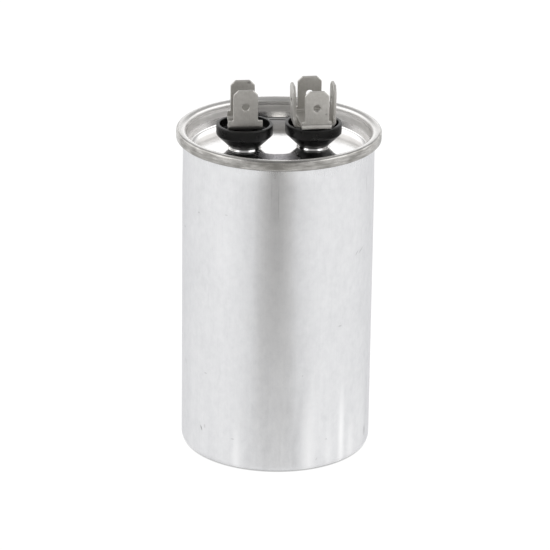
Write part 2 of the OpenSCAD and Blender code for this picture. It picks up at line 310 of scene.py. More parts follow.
# ---------------------------------------------------------------- insulating cups
def make_cup(name, cx):
    points = [
        (1.5, UNDER_Z), (2.9, UNDER_Z), (2.9, COLLAR_Z + 0.5), (3.6, COLLAR_Z + 0.5), (3.6, COLLAR_Z), (4.0, COLLAR_Z),
        (7.38, COLLAR_Z + 3.35), (7.38, CUP_TOP), (6.5, CUP_TOP), (6.5, CUP_TOP - 2.4), (3.9, CUP_TOP - 2.4),
        (3.9, SEAT_Z), (1.5, SEAT_Z)]
    radii = [0, 0, 0, 0, 0, 0.12, 0.45, 0.22, 0.14, 0.25, 0.2, 0.1, 0]
    profile = rounded(points, radii, 6)
    b = Builder()

    def shape(r, z, t):
        return (r - 0.012 * (1 + wave(t, z * 0.4, cx, 2.2)), z) if r > 7.2 else (r, z)

    b.lathe(profile, 160, cx=cx, closed=True, shape=shape)
    return b.make(name, 34)


# ---------------------------------------------------------------- rivets
def make_rivet(name, cx, top):
    tail = UNDER_Z - 1.2 - 0.85
    points = [(0, tail), (2.5, tail), (2.5, tail + 0.85), (1.5, tail + 0.85), (1.5, top), (2.2, top), (2.2, top + 0.9), (1.15, top + 0.9), (0.75, top + 0.55), (0, top + 0.55)]
    radii = [0, 0.3, 0.1, 0, 0, 0.05, 0.42, 0.18, 0.2, 0]
    b = Builder()
    b.lathe(rounded(points, radii, 6, closed=False), 72, cx=cx)
    return b.make(name, 40)


# ---------------------------------------------------------------- terminals
def leg_side(cx, half, shoulder_z, length, lean, mid):
    """One side of a leg, from the base plate to the middle of the tip, as (distance along the strip, half width)."""
    u0 = cx + (90 - lean) * RAD * mid
    w, f, c = 3.15, 0.38, 1.25
    sh, tip = u0 + shoulder_z, u0 + length
    corner = rounded([(cx, half), (sh, half), (sh, w), (tip - c, w), (tip, w - c), (tip, 0)], [0, 0.22, f, 0.5, 0.5, 0], 6, closed=False)
    return corner, u0, tip


def make_strap(name, cx, seat, turn, front, back, wide_f, wide_b, rise, lean, bend, dents, seed):
    """A strip with a blade at each end, bent up at both ends of its base plate, with rolled edges and small holes."""
    t_ = BLADE_T
    bend_o, mid = bend + BLADE_T, bend + BLADE_T / 2
    boxy = max(0.0, min(1.0, (BEND_R - bend) / 0.5))  # a sharp bend is squarer outside, with a crease over it
    h = rise - bend_o
    length = h + 8.2
    cf, cb = front - bend_o, back - bend_o
    side_f, u0f, tip_f = leg_side(cf, wide_f / 2, h, length, lean, mid)
    side_b, u0b, tip_b = leg_side(cb, wide_b / 2, h, length, lean, mid)
    # outline, counter-clockwise in (u, v): u runs from the front tip (negative) to the back tip (positive)
    over = 0.36 * boxy
    fine_f = [-u for u in np.linspace(cf, u0f + over, 13 + round(5 * boxy))]
    fine_b = [float(u) for u in np.linspace(cb, u0b + over, 13 + round(5 * boxy))]
    right = [(-u, -v) for u, v in reversed(side_f)] + [(-1.2, -wide_f / 2), (1.2, -wide_b / 2)] + [(u, -v) for u, v in side_b]
    left = [(u, v) for u, v in reversed(side_b)][1:] + [(1.2, wide_b / 2), (-1.2, wide_f / 2)] + [(-u, v) for u, v in side_f][:-1]
    outline = right + left

    def densify(points):
        out = []
        for p, q in zip(points, points[1:] + points[:1]):
            cuts = [0.0]
            n = max(1, math.ceil(math.dist(p, q) / 0.5))
            cuts += [k / n for k in range(1, n)]
            if abs(q[0] - p[0]) > 1e-6 and abs(q[1] - p[1]) < 0.3:
                for u in fine_f + fine_b:
                    k = (u - p[0]) / (q[0] - p[0])
                    if 1e-3 < k < 1 - 1e-3:
                        cuts.append(k)
            cuts = sorted(cuts)
            kept = [cuts[0]]
            for k in cuts[1:]:
                if (k - kept[-1]) * math.dist(p, q) > 0.03:
                    kept.append(k)
            out += [(p[0] + (q[0] - p[0]) * k, p[1] + (q[1] - p[1]) * k) for k in kept]
        clean = [out[0]]
        for p in out[1:]:
            if math.dist(p, clean[-1]) > 0.012:
                clean.append(p)
        return clean

    outline = np.array(densify(outline))
    tangent = np.roll(outline, -1, 0) - np.roll(outline, 1, 0)
    tangent /= np.linalg.norm(tangent, axis=1)[:, None]
    inward = np.stack([-tangent[:, 1], tangent[:, 0]], 1)
    # edges are coined: more at the tips than along the sides, and hardly on the base plate
    coin = np.empty(len(outline))
    for i, (u, v) in enumerate(outline):
        tip = tip_b if u > 0 else tip_f
        start = u0b if u > 0 else u0f
        a = abs(u)
        coin[i] = 0.09 + 0.05 * max(0.0, min(1.0, (a - (start + h)) / 0.6)) + 0.07 * max(0.0, min(1.0, (a - (tip - 1.6)) / 0.8))

    holes = [(-(tip_f - HOLE_DOWN), 0.0, 0.925, 0.12), (tip_b - HOLE_DOWN, 0.0, 0.925, 0.12), (0.0, 0.0, 1.5, 0.03)]

    def height(u, v):
        """How far the sheet stands off its true plane here: rolling unevenness and small dents."""
        a = abs(u)
        start = u0b if u > 0 else u0f
        free = max(0.0, min(1.0, (a - start) / 1.5))
        d = 0.014 * noise.noise(Vector((u * 0.35, v * 0.35, seed))) * free
        d += 0.09 * boxy * math.exp(-((a - start - 0.10) / 0.15) ** 2)
        for du, dv, depth, size in dents:
            d += depth * math.exp(-((u - du) ** 2 + (v - dv) ** 2) / size ** 2)
        return d

    turn_r = turn * RAD
    shift = -0.2

    def place(u, v, w):
        """w is 0 on the outer face and t on the inner one."""
        sgn = -1.0 if u < 0 else 1.0
        a, c = abs(u), (cf if u < 0 else cb)
        w += height(u, v)
        end = (90 - lean) * RAD * mid
        if a <= c:
            y, z = a, w
        elif a <= c + end:
            q = (a - c) / mid
            out = boxy * max(0.0, 1.0 - w / t_)
            k = 1.0 + out * ((math.sin(q) ** 5 + abs(math.cos(q)) ** 5) ** -0.2 - 1.0)
            y, z = c + (bend_o - w) * k * math.sin(q), bend_o - (bend_o - w) * k * math.cos(q)
            y += 0.13 * out * min(1.0, max(0.0, math.sin(q * 2.0))) ** 0.7 * min(1.0, q)
        else:
            q = (90 - lean) * RAD
            k = a - c - end
            y = c + (bend_o - w) * math.sin(q) + k * math.cos(q)
            z = bend_o - (bend_o - w) * math.cos(q) + k * math.sin(q)
        y *= sgn
        # v points to +X for u along +Y
        x = -v
        xr = x * math.cos(turn_r) - y * math.sin(turn_r)
        yr = x * math.sin(turn_r) + y * math.cos(turn_r)
        return b.add(cx + shift + xr, yr, seat + z)

    b = Builder()
    steps = 4

    def levels(inset_pts, normal, amount):
        rows = []
        for side in (0, 1):
            row = []
            for k in range(steps + 1):
                a = k / steps * math.pi / 2
                ins, up = 1 - math.sin(a), 1 - math.cos(a)
                pts = inset_pts + normal * (amount * ins)[:, None]
                ws = np.minimum(amount * up, 0.4)
                ws = ws if side == 0 else t_ - ws
                row.append((pts, ws))
            rows += row if side == 0 else row[::-1]
        return rows

    def ring(pts, ws):
        return [place(float(p[0]), float(p[1]), float(w)) for p, w in zip(pts, ws)]

    outer_rows = levels(outline, inward, coin)
    outer_rings = [ring(p, w) for p, w in outer_rows]
    for r0, r1 in zip(outer_rings, outer_rings[1:]):
        b.bridge(r0, r1)
    hole_rows, hole_rings = [], []
    for hu, hv, hr, hc in holes:
        k = 48
        ang = np.arange(k) * 2 * math.pi / k
        out = np.stack([np.cos(ang), np.sin(ang)], 1)
        if hr == 1.5:
            centre = np.array([0.0, -0.2 * math.cos(turn_r)]), np.array([0.0, 0.0])
            base = np.array([hu, hv]) + hr * out + np.array([math.sin(turn_r) * 0.2, -math.cos(turn_r) * 0.2])
        else:
            base = np.array([hu, hv]) + hr * out
        rows = levels(base, out, np.full(k, hc))
        hole_rows.append(rows)
        rings = [ring(p, w) for p, w in rows]
        for r0, r1 in zip(rings, rings[1:]):
            b.bridge(r0, r1)
        hole_rings.append(rings)

    def inside(p, poly):
        x, y = p
        px, py = poly[:, 0], poly[:, 1]
        qx, qy = np.roll(px, -1), np.roll(py, -1)
        hit = (py > y) != (qy > y)
        with np.errstate(divide="ignore", invalid="ignore"):
            cross = (qx - px) * (y - py) / (qy - py) + px
        return bool(np.count_nonzero(hit & (x < cross)) % 2)

    us = sorted(set([round(x, 4) for x in list(np.arange(-tip_f, -u0f - over - 0.2, 0.45)) + fine_f + list(np.arange(-cf + 0.3, cb - 0.2, 0.45)) + fine_b + list(np.arange(u0b + over + 0.25, tip_b, 0.45))]))
    for level, w in ((0, 0.0), (-1, t_)):
        pts = outer_rows[level][0]
        loops, ids = [pts], list(outer_rings[level])
        for rows, rings in zip(hole_rows, hole_rings):
            loops.append(rows[level][0])
            ids += rings[level]
        flat, edges, start = [], [], 0
        for loop in loops:
            k = len(loop)
            flat += [Vector((float(p[0]), float(p[1]))) for p in loop]
            edges += [(start + i, start + (i + 1) % k) for i in range(k)]
            start += k
        extra = []
        for u in us:
            for v in np.arange(-4.5, 4.51, 0.45):
                if not inside((u, v), pts):
                    continue
                if np.min(np.hypot(pts[:, 0] - u, pts[:, 1] - v)) < 0.2:
                    continue
                if any(math.hypot(u - q[0], v - q[1]) < q[2] + q[3] + 0.4 for q in holes):
                    continue
                extra.append(Vector((float(u), float(v))))
        verts, _, faces, source, _, _ = delaunay_2d_cdt(flat + extra, edges, [], 1, 1e-6)
        index = []
        for p, src in zip(verts, source):
            known = [i for i in src if i < len(ids)]
            index.append(ids[known[0]] if known else place(p.x, p.y, w))
        hole_loops = [np.array([(p[0], p[1]) for p in loop]) for loop in loops[1:]]
        for f in faces:
            c = (sum(verts[i].x for i in f) / len(f), sum(verts[i].y for i in f) / len(f))
            if any(inside(c, hl) for hl in hole_loops):
                continue
            b.f.append([index[i] for i in f])
    return b.make(name, 30)


# ---------------------------------------------------------------- material helpers
class Nodes:
    def __init__(self, name):
        self.mat = bpy.data.materials.new(name)
        self.mat.use_nodes = True
        self.tree = self.mat.node_tree
        self.bsdf = self.tree.nodes["Principled BSDF"]
        self.pos = self.tree.nodes.new("ShaderNodeTexCoord").outputs["Object"]

    def node(self, kind, inputs=None, **props):
        n = self.tree.nodes.new(kind)
        for k, v in props.items():
            setattr(n, k, v)
        for k, v in (inputs or {}).items():
            self.put(n.inputs[k], v)
        return n

    def put(self, socket, value):
        if isinstance(value, bpy.types.NodeSocket):
            self.tree.links.new(value, socket)
        else:
            socket.default_value = value

    def mapped(self, scale, offset=(0, 0, 0), source=None):
        return self.node("ShaderNodeMapping", {"Vector": source or self.pos, "Scale": scale, "Location": offset}).outputs["Vector"]

    def noise(self, vector, scale, detail=2.0, rough=0.5, distort=0.0):
        return self.node("ShaderNodeTexNoise", {"Vector": vector, "Scale": scale, "Detail": detail, "Roughness": rough, "Distortion": distort}).outputs["Fac"]

    def math(self, op, a, b=0.0, c=0.0, clamp=False):
        n = self.node("ShaderNodeMath", operation=op, use_clamp=clamp)
        for i, v in enumerate((a, b, c)):
            self.put(n.inputs[i], v)
        return n.outputs[0]

    def span(self, value, lo, hi, to_lo, to_hi, smooth=True):
        n = self.node("ShaderNodeMapRange", {"Value": value, "From Min": lo, "From Max": hi, "To Min": to_lo, "To Max": to_hi})
        n.interpolation_type = "SMOOTHSTEP" if smooth else "LINEAR"
        return n.outputs["Result"]

    def ramp(self, value, stops):
        n = self.node("ShaderNodeValToRGB", {"Fac": value})
        e = n.color_ramp.elements
        while len(e) < len(stops):
            e.new(0.5)
        for el, (p, c) in zip(e, stops):
            el.position = p
            el.color = (*c, 1.0)
        return n.outputs["Color"]

    def mix(self, fac, a, b):
        n = self.node("ShaderNodeMix", data_type="RGBA", blend_type="MIX")
        self.put(n.inputs["Factor"], fac)
        for key, v in (("A", a), ("B", b)):
            socket = [s for s in n.inputs if s.name == key and s.type == "RGBA"][0]
            self.put(socket, v if isinstance(v, bpy.types.NodeSocket) else (*v, 1.0))
        return [s for s in n.outputs if s.type == "RGBA"][0]

    def bump(self, height, strength, distance, normal=None):
        inputs = {"Height": height, "Strength": strength, "Distance": distance}
        if normal is not None:
            inputs["Normal"] = normal
        return self.node("ShaderNodeBump", inputs).outputs["Normal"]

    def set(self, **values):
        for k, v in values.items():
            self.put(self.bsdf.inputs[k.replace("_", " ")], v)


def polar(m):
    """The position's X, Y and Z, its angle round the Z axis, and its distance from that axis."""
    sep = m.node("ShaderNodeSeparateXYZ", {"Vector": m.pos}).outputs
    ang = m.math("ARCTAN2", sep["Y"], sep["X"])
    r = m.math("SQRT", m.math("ADD", m.math("MULTIPLY", sep["X"], sep["X"]), m.math("MULTIPLY", sep["Y"], sep["Y"])))
    return sep, ang, r


# ---------------------------------------------------------------- materials
# Small marks on the can's wall: way round from the front, height, half length and half width (mm), turn (degrees), depth of tone
MARKS = [
    (-24.9, 8.6, 0.85, 0.26, 115, 0.75), (-26.4, 68.4, 0.32, 0.28, 0, 0.45), (-35.1, 61.7, 0.6, 0.35, 0, 0.30),
    (21.3, 57.8, 1.0, 0.22, 40, 0.28), (23.3, 58.0, 1.6, 0.22, 28, 0.30), (15.2, 39.2, 0.8, 0.26, 0, 0.26),
    (-23.3, 24.7, 0.6, 0.25, 0, 0.26), (-16.6, 70.2, 0.55, 0.22, 0, 0.20), (-33.8, 24.3, 1.3, 1.0, 0, 0.10),
    (28.0, 5.2, 1.0, 1.7, 0, 0.22), (-14.2, 8.4, 0.6, 0.25, 0, 0.24), (11.4, 8.2, 0.28, 0.25, 0, 0.26),
    (4.3, 27.2, 0.25, 0.25, 0, 0.22), (8.5, 3.0, 0.5, 0.2, 60, 0.20), (-2.6, 75.2, 5.5, 0.18, 90, 0.16),
    (-4.4, 77.5, 3.6, 0.25, 90, 0.10), (25.9, 75.5, 3.5, 0.3, 90, 0.14),
]

# Lighter streaks painted into the colour as highlights: way round, height, half length and half width (mm), turn,
# strength
PAINTED_HIGHLIGHT_STREAKS = [
    (16.4, 8.0, 19.0, 1.7, 90, 1.0), (12.0, 5.0, 12.0, 2.2, 90, 0.35), (25.5, 9.0, 11.0, 4.5, 90, 0.30), (-17.0, 60.0, 16.0, 6.0, 90, 0.14),
    (6.2, 6.0, 24.0, 3.2, 90, 0.75), (20.2, 4.0, 12.0, 2.6, 90, 0.60), (-13.1, 3.0, 12.0, 2.0, 90, 0.55),
]


def aluminium():
    m = Nodes("drawn_aluminium")
    sep = m.node("ShaderNodeSeparateXYZ", {"Vector": m.pos}).outputs
    around = m.math("MULTIPLY", m.math("ARCTAN2", sep["X"], m.math("MULTIPLY", sep["Y"], -1.0)), CAN_R * MM)
    sheet = m.node("ShaderNodeCombineXYZ", {"X": around, "Y": sep["Z"], "Z": 0.0}).outputs[0]
    streak = m.noise(m.mapped((1, 1, 0.03)), 2600.0, 3.0, 0.6)
    broad = m.noise(m.mapped((1, 1, 0.06)), 260.0, 2.0, 0.5)
    cloud = m.noise(m.pos, 90.0, 4.0, 0.6)
    fine = m.noise(m.pos, 1500.0, 2.0, 0.6)
    mottle = m.noise(m.mapped((1, 1, 0.7)), 620.0, 4.0, 0.65)
    # drawing bands show most near the bottom
    low = m.span(sep["Z"], 0.010, 0.045, 0.42, 0.15)
    band = m.math("MULTIPLY", m.math("SUBTRACT", broad, 0.5), low)
    tone = m.math("ADD", m.math("MULTIPLY", streak, 0.20), m.math("ADD", m.math("MULTIPLY", cloud, 0.35), m.math("MULTIPLY", mottle, 0.45)))
    tone = m.math("ADD", tone, band)
    colour = m.ramp(tone, [(0.28, (0.660, 0.664, 0.676)), (0.50, (0.745, 0.748, 0.759)), (0.72, (0.815, 0.817, 0.824))])
    worn = None
    for u, z, a, b, turn, depth in MARKS:
        place = m.node("ShaderNodeMapping", {"Vector": sheet, "Location": (u * MM, z * MM, 0), "Rotation": (0, 0, turn * RAD), "Scale": (a * MM, b * MM, 1)}, vector_type="TEXTURE").outputs["Vector"]
        mark = m.span(m.node("ShaderNodeVectorMath", {0: place}, operation="LENGTH").outputs["Value"], 0.3, 1.15, depth, 0.0)
        worn = mark if worn is None else m.math("MAXIMUM", worn, mark)
    for u, z, a, b, turn, share in PAINTED_HIGHLIGHT_STREAKS:
        place = m.node("ShaderNodeMapping", {"Vector": sheet, "Location": (u * MM, z * MM, 0), "Rotation": (0, 0, turn * RAD), "Scale": (a * MM, b * MM, 1)}, vector_type="TEXTURE").outputs["Vector"]
        light = m.span(m.node("ShaderNodeVectorMath", {0: place}, operation="LENGTH").outputs["Value"], 0.0, 1.0, share, 0.0)
        # each streak lightens the colour: a painted highlight
        colour = m.mix(light, colour, (0.93, 0.93, 0.935))
    colour = m.mix(worn, colour, (0.16, 0.155, 0.15))
    specks = m.node("ShaderNodeTexVoronoi", {"Vector": m.mapped((1, 1, 0.6)), "Scale": 150.0, "Randomness": 1.0}, feature="F1")
    dot = m.span(specks.outputs["Distance"], 0.02, 0.07, 1.0, 0.0)
    rare = m.math("GREATER_THAN", m.node("ShaderNodeSeparateColor", {"Color": specks.outputs["Color"]}).outputs[0], 0.93)
    dot = m.math("MULTIPLY", dot, rare)
    colour = m.mix(m.math("MULTIPLY", dot, 0.35), colour, (0.45, 0.44, 0.44))
    rough = m.math("ADD", m.span(cloud, 0.3, 0.7, 0.35, 0.41), m.span(streak, 0.3, 0.7, -0.03, 0.03))
    # burnished by the seaming, close under the rim
    rough = m.math("ADD", rough, m.span(sep["Z"], 0.0785, 0.0832, 0.0, -0.10))
    h = m.math("ADD", m.math("MULTIPLY", streak, 0.7), m.math("MULTIPLY", fine, 0.3))
    h = m.math("SUBTRACT", h, m.math("MULTIPLY", dot, 1.5))
    along = m.node("ShaderNodeTangent", direction_type="RADIAL", axis="Z").outputs["Tangent"]
    m.set(Base_Color=colour, Metallic=1.0, Roughness=rough, Normal=m.bump(h, 0.10, 0.00003),
          Anisotropic=0.95, Anisotropic_Rotation=0.25, Tangent=along, Specular_Tint=(0.82, 0.82, 0.83, 1.0))
    return m.mat


def tinplate():
    m = Nodes("bright_tinplate")
    sep, ang, r = polar(m)
    rim = m.span(sep["Z"], 0.0824, 0.0838, 0.0, 1.0)
    outside = m.span(r, 0.02590, 0.02625, 0.0, 1.0)
    grain = m.noise(m.pos, 4200.0, 3.0, 0.7)
    lines = m.noise(m.node("ShaderNodeCombineXYZ", {"X": m.math("MULTIPLY", ang, 0.0022), "Y": sep["Z"], "Z": r}).outputs[0], 3000.0, 3.0, 0.65)
    cloud = m.noise(m.pos, 260.0, 4.0, 0.65)
    blotch = m.noise(m.node("ShaderNodeCombineXYZ", {"X": m.math("MULTIPLY", ang, 0.012), "Y": sep["Z"], "Z": r}).outputs[0], 420.0, 3.0, 0.6)
    panel_colour = m.ramp(cloud, [(0.3, (0.80, 0.79, 0.785)), (0.7, (0.86, 0.855, 0.85))])
    rim_tone = m.math("ADD", m.math("MULTIPLY", lines, 0.45), m.math("MULTIPLY", blotch, 0.55))
    rim_colour = m.ramp(rim_tone, [(0.38, (0.24, 0.232, 0.218)), (0.5, (0.385, 0.375, 0.358)), (0.62, (0.55, 0.537, 0.517))])
    # the rim's outside is painted darker towards its lower edge: painted shade under the curl
    rim_colour = m.mix(m.span(sep["Z"], 0.0837, 0.0848, 0.5, 0.0), rim_colour, (0.16, 0.155, 0.145))
    wall_colour = m.ramp(rim_tone, [(0.32, (0.54, 0.530, 0.518)), (0.5, (0.615, 0.604, 0.590)), (0.68, (0.685, 0.673, 0.658))])
    # the inner wall is painted lighter towards the crown: a painted highlight
    wall_colour = m.mix(m.span(sep["Z"], 0.0850, 0.0862, 0.0, 0.30), wall_colour, (0.88, 0.87, 0.855))
    colour = m.mix(rim, panel_colour, m.mix(outside, wall_colour, rim_colour))
    # a dark line painted round the crease in the rim's inner wall: painted shade
    crease_shade = m.math("MULTIPLY", m.span(m.math("ABSOLUTE", m.math("SUBTRACT", sep["Z"], 0.08498)), 0.00006, 0.00022, 1.0, 0.0), m.span(r, 0.0243, 0.0247, 1.0, 0.0))
    colour = m.mix(m.math("MULTIPLY", crease_shade, 0.4), colour, (0.22, 0.21, 0.21))
    # a dark line painted on the fillet at the foot of the inner wall, at the back: a painted reflection
    foot_dark_reflection = m.math("MULTIPLY", m.span(m.math("ABSOLUTE", m.math("SUBTRACT", sep["Z"], 0.08153)), 0.00008, 0.00020, 1.0, 0.0), m.math("MULTIPLY", m.span(sep["Y"], 0.0205, 0.0225, 0.0, 1.0), m.span(r, 0.02300, 0.02312, 0.0, 1.0)))
    colour = m.mix(m.math("MULTIPLY", foot_dark_reflection, 0.8), colour, (0.08, 0.078, 0.075))
    # a dull grainy patch on the panel in front of the cups
    sx = m.math("ADD", sep["X"], 0.0003)
    side = m.math("ADD", sep["X"], 0.00095)
    uneven = m.span(m.noise(m.pos, 520.0, 3.0, 0.6), 0.3, 0.7, -0.0008, 0.0008)
    edge = m.math("ADD", m.math("MULTIPLY", m.math("MULTIPLY", sx, sx), 85.0), m.span(cloud, 0.3, 0.7, -0.0059, -0.0053))
    dull = m.math("MULTIPLY", m.span(m.math("SUBTRACT", edge, sep["Y"]), 0.0, 0.0004, 0.0, 1.0), m.span(m.math("ADD", m.math("ABSOLUTE", side), uneven), 0.0046, 0.0057, 1.0, 0.0))
    dull = m.math("MULTIPLY", dull, m.math("MULTIPLY", m.span(m.math("ADD", sep["Y"], m.math("MULTIPLY", uneven, 2.0)), -0.0165, -0.0120, 0.0, 1.0), m.span(sep["Z"], 0.0815, 0.0818, 1.0, 0.0)))
    colour = m.mix(dull, colour, m.ramp(m.noise(m.pos, 3600.0, 2.0, 0.6), [(0.36, (0.26, 0.25, 0.27)), (0.64, (0.80, 0.775, 0.80))]))
    rough = m.math("ADD", m.span(rim, 0.0, 1.0, 0.07, 0.30), m.math("MULTIPLY", outside, m.span(rim_tone, 0.35, 0.65, 0.06, -0.06)))
    rough = m.math("ADD", rough, m.math("MULTIPLY", dull, 0.34))
    wall = m.math("MULTIPLY", m.span(sep["Z"], 0.0816, 0.0824, 0.0, 1.0), m.span(r, 0.0241, 0.0247, 1.0, 0.0))
    rough = m.math("ADD", rough, m.math("MULTIPLY", m.math("MULTIPLY", wall, m.span(r, 0.0220, 0.0228, 0.0, 1.0)), 0.08))
    # the crown of the rim is burnished by the seaming
    crown = m.span(sep["Z"], 0.0858, 0.0865, 0.0, 1.0)
    rough = m.math("SUBTRACT", rough, m.math("MULTIPLY", crown, 0.06))
    flat = m.bump(grain, m.span(rim, 0.0, 1.0, 0.16, 0.12), 0.00004)
    rolled = m.bump(lines, m.span(rim, 0.0, 1.0, 0.0, 0.22), 0.00004, flat)
    m.set(Base_Color=colour, Metallic=1.0, Roughness=rough, Normal=rolled)
    return m.mat


def tinned(name, seed, painted_light_gain=1.0, dark_spots=()):
    m = Nodes(name)
    where = m.mapped((1, 1, 1), (seed, seed * 0.7, 0.0))
    cloud = m.noise(where, 420.0, 4.0, 0.65, 0.4)
    mottle = m.noise(where, 1500.0, 3.0, 0.6)
    roll = m.noise(m.mapped((1, 1, 0.05), (seed, 0, 0)), 3800.0, 2.0, 0.6)
    tone = m.math("ADD", m.math("MULTIPLY", cloud, 0.5), m.math("ADD", m.math("MULTIPLY", mottle, 0.3), m.math("MULTIPLY", roll, 0.2)))
    tones = ((0.33, (0.495, 0.482, 0.456)), (0.5, (0.565, 0.552, 0.526)), (0.68, (0.635, 0.622, 0.596)))
    # the colour is scaled per strip: painted light and shade
    colour = m.ramp(tone, [(at, tuple(c * painted_light_gain for c in rgb)) for at, rgb in tones])
    # dark spots: painted shade on the upper strap, a plain dark spot on the left strip
    for x, y, z, a, b, depth in dark_spots:
        place = m.node("ShaderNodeMapping", {"Vector": m.pos, "Location": (x * MM, y * MM, z * MM), "Rotation": (0, 0, 0), "Scale": (a * MM, 2 * MM, b * MM)}, vector_type="TEXTURE").outputs["Vector"]
        dark_spot = m.span(m.node("ShaderNodeVectorMath", {0: place}, operation="LENGTH").outputs["Value"], 0.3, 1.2, depth, 0.0)
        colour = m.mix(dark_spot, colour, (0.17, 0.163, 0.155))
    rough = m.span(tone, 0.35, 0.65, 0.52, 0.42)
    h = m.math("ADD", m.math("MULTIPLY", mottle, 0.6), m.math("MULTIPLY", roll, 0.4))
    m.set(Base_Color=colour, Metallic=1.0, Roughness=rough, Normal=m.bump(h, 0.18, 0.00003))
    return m.mat


def black_plastic():
    m = Nodes("black_moulding")
    cloud = m.noise(m.pos, 500.0, 3.0, 0.6)
    fine = m.noise(m.pos, 5200.0, 2.0, 0.5)
    colour = m.ramp(cloud, [(0.3, (0.0070, 0.0069, 0.0068)), (0.7, (0.0092, 0.0091, 0.0090))])
    m.set(Base_Color=colour, Roughness=m.span(cloud, 0.3, 0.7, 0.27, 0.31), IOR=1.5, Specular_IOR_Level=0.36, Normal=m.bump(fine, 0.08, 0.00002))
    return m.mat


def grainy(name, dark, light, scale, rough, bump, metallic=0.0, stretch=(1, 1, 1), distance=0.00005):
    """A plain finish for the pieces inside: two tones in a grain, with matching roughness and relief."""
    m = Nodes(name)
    where = m.mapped(stretch)
    coarse = m.noise(where, scale, 4.0, 0.6)
    fine = m.noise(where, scale * 6, 2.0, 0.5)
    tone = m.math("ADD", m.math("MULTIPLY", coarse, 0.6), m.math("MULTIPLY", fine, 0.4))
    m.set(Base_Color=m.ramp(tone, [(0.32, dark), (0.68, light)]), Metallic=metallic,
          Roughness=m.span(tone, 0.35, 0.65, rough + 0.06, rough - 0.06), Normal=m.bump(tone, bump, distance))
    return m.mat


def film():
    """Edges of the wound layers: rings about the axis, and a faint metal sheen."""
    m = Nodes("wound_film")
    sep, ang, r = polar(m)
    turns = m.noise(m.node("ShaderNodeCombineXYZ", {"X": m.math("MULTIPLY", r, 1.0), "Y": m.math("MULTIPLY", ang, 0.0004), "Z": m.math("MULTIPLY", sep["Z"], 0.02)}).outputs[0], 9000.0, 2.0, 0.6)
    cloud = m.noise(m.pos, 220.0, 3.0, 0.6)
    tone = m.math("ADD", m.math("MULTIPLY", turns, 0.7), m.math("MULTIPLY", cloud, 0.3))
    m.set(Base_Color=m.ramp(tone, [(0.3, (0.62, 0.65, 0.69)), (0.7, (0.80, 0.82, 0.85))]), Metallic=0.35,
          Roughness=m.span(tone, 0.3, 0.7, 0.34, 0.22), Normal=m.bump(turns, 0.25, 0.00003))
    return m.mat


# ---------------------------------------------------------------- build
ALU, TIN, BLACK = aluminium(), tinplate(), black_plastic()
# small dark spots on the blades, the upper strap's two being painted shade by its front blade's hole: place, half width
# and half height (mm), depth of tone
# the strips share one tinned finish, scaled darker or lighter per strip: painted shade and painted light
TAB_L = tinned("tinned_strip_left", 0.013, 0.96, [(-7.5, 3.9, 97.85, 0.62, 0.42, 0.55)])
TAB_LOW = tinned("tinned_strip_lower", 0.057, 1.04)
TAB_UP = tinned("tinned_strip_upper", 0.091, 1.04, [(11.4, -6.9, 92.3, 0.35, 0.30, 0.45), (9.25, -6.9, 93.0, 0.55, 0.25, 0.35)])
RIVET = tinned("tinned_rivet", 0.131)

pieces = [
    (make_can(), "can", "can_aluminium", ALU),
    (make_lid(), "lid", "lid_tinplate", TIN),
    (make_cup("insulator_left_moulding", -TERM_X), "insulator_left", "black_insulator", BLACK),
    (make_cup("insulator_right_moulding", TERM_X), "insulator_right", "black_insulator", BLACK),
    (make_strap("terminal_double_strip", -TERM_X, SEAT_Z, 0, 4.65, 4.65, 8.8, 7.9, 2.8, 0.0, BEND_R, [], 2.0), "terminal_double", "tinned_terminal", TAB_L),
    (make_strap("terminal_lower_strap", TERM_X, SEAT_Z, 92, 5.55, 5.55, 7.2, 7.2, 2.85, 0.8, BEND_R, [], 5.0), "terminal_lower", "tinned_terminal", TAB_LOW),
    (make_strap("terminal_upper_strap", TERM_X, SEAT_Z + BLADE_T, 2, 6.9, 6.8, 7.7, 7.7, 2.05, 0.0, UPPER_BEND,
                [(-11.2, 2.5, 0.05, 0.5), (-10.2, 2.7, 0.035, 0.4)], 8.0), "terminal_upper", "tinned_terminal", TAB_UP),
    (make_rivet("rivet_left_head", -TERM_X, SEAT_Z + BLADE_T), "rivet_left", "tinned_terminal", RIVET),
    (make_rivet("rivet_right_head", TERM_X, SEAT_Z + 2 * BLADE_T), "rivet_right", "tinned_terminal", RIVET),
]
for obj, node, slot, mat in pieces:
    obj.data.materials.append(mat)
    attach(obj, "root")
    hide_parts(node)

rubber = grainy("gasket_rubber", (0.022, 0.022, 0.023), (0.05, 0.05, 0.052), 900.0, 0.72, 0.25)
compound = grainy("sealing_compound", (0.56, 0.52, 0.42), (0.72, 0.68, 0.57), 700.0, 0.66, 0.3)
white_plastic = grainy("natural_plastic", (0.74, 0.72, 0.66), (0.86, 0.845, 0.80), 260.0, 0.44, 0.12)
copper = grainy("copper_wire", (0.62, 0.33, 0.20), (0.80, 0.47, 0.31), 900.0, 0.30, 0.10, metallic=1.0, stretch=(1, 1, 0.1))
zinc = grainy("sprayed_metal", (0.36, 0.37, 0.40), (0.58, 0.59, 0.62), 1600.0, 0.62, 0.8, metallic=0.9, distance=0.0001)
paper = grainy("sleeve_paper", (0.62, 0.53, 0.36), (0.76, 0.68, 0.52), 480.0, 0.78, 0.2, stretch=(1, 1, 0.35))
wound = film()
inside = {
    "seam_seal": compound, "gasket_left": rubber, "gasket_right": rubber,
    "inner_washer_left": white_plastic, "inner_washer_right": white_plastic, "interrupter_plate": white_plastic,
    "lead_short": copper, "lead_long": copper, "winding": wound, "winding_core": white_plastic,
    "end_spray_top": zinc, "end_spray_bottom": zinc, "winding_sleeve": paper, "bottom_cup": white_plastic,
}
for name, mat in inside.items():
    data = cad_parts[name].data
    data.materials.clear()
    data.materials.append(mat)

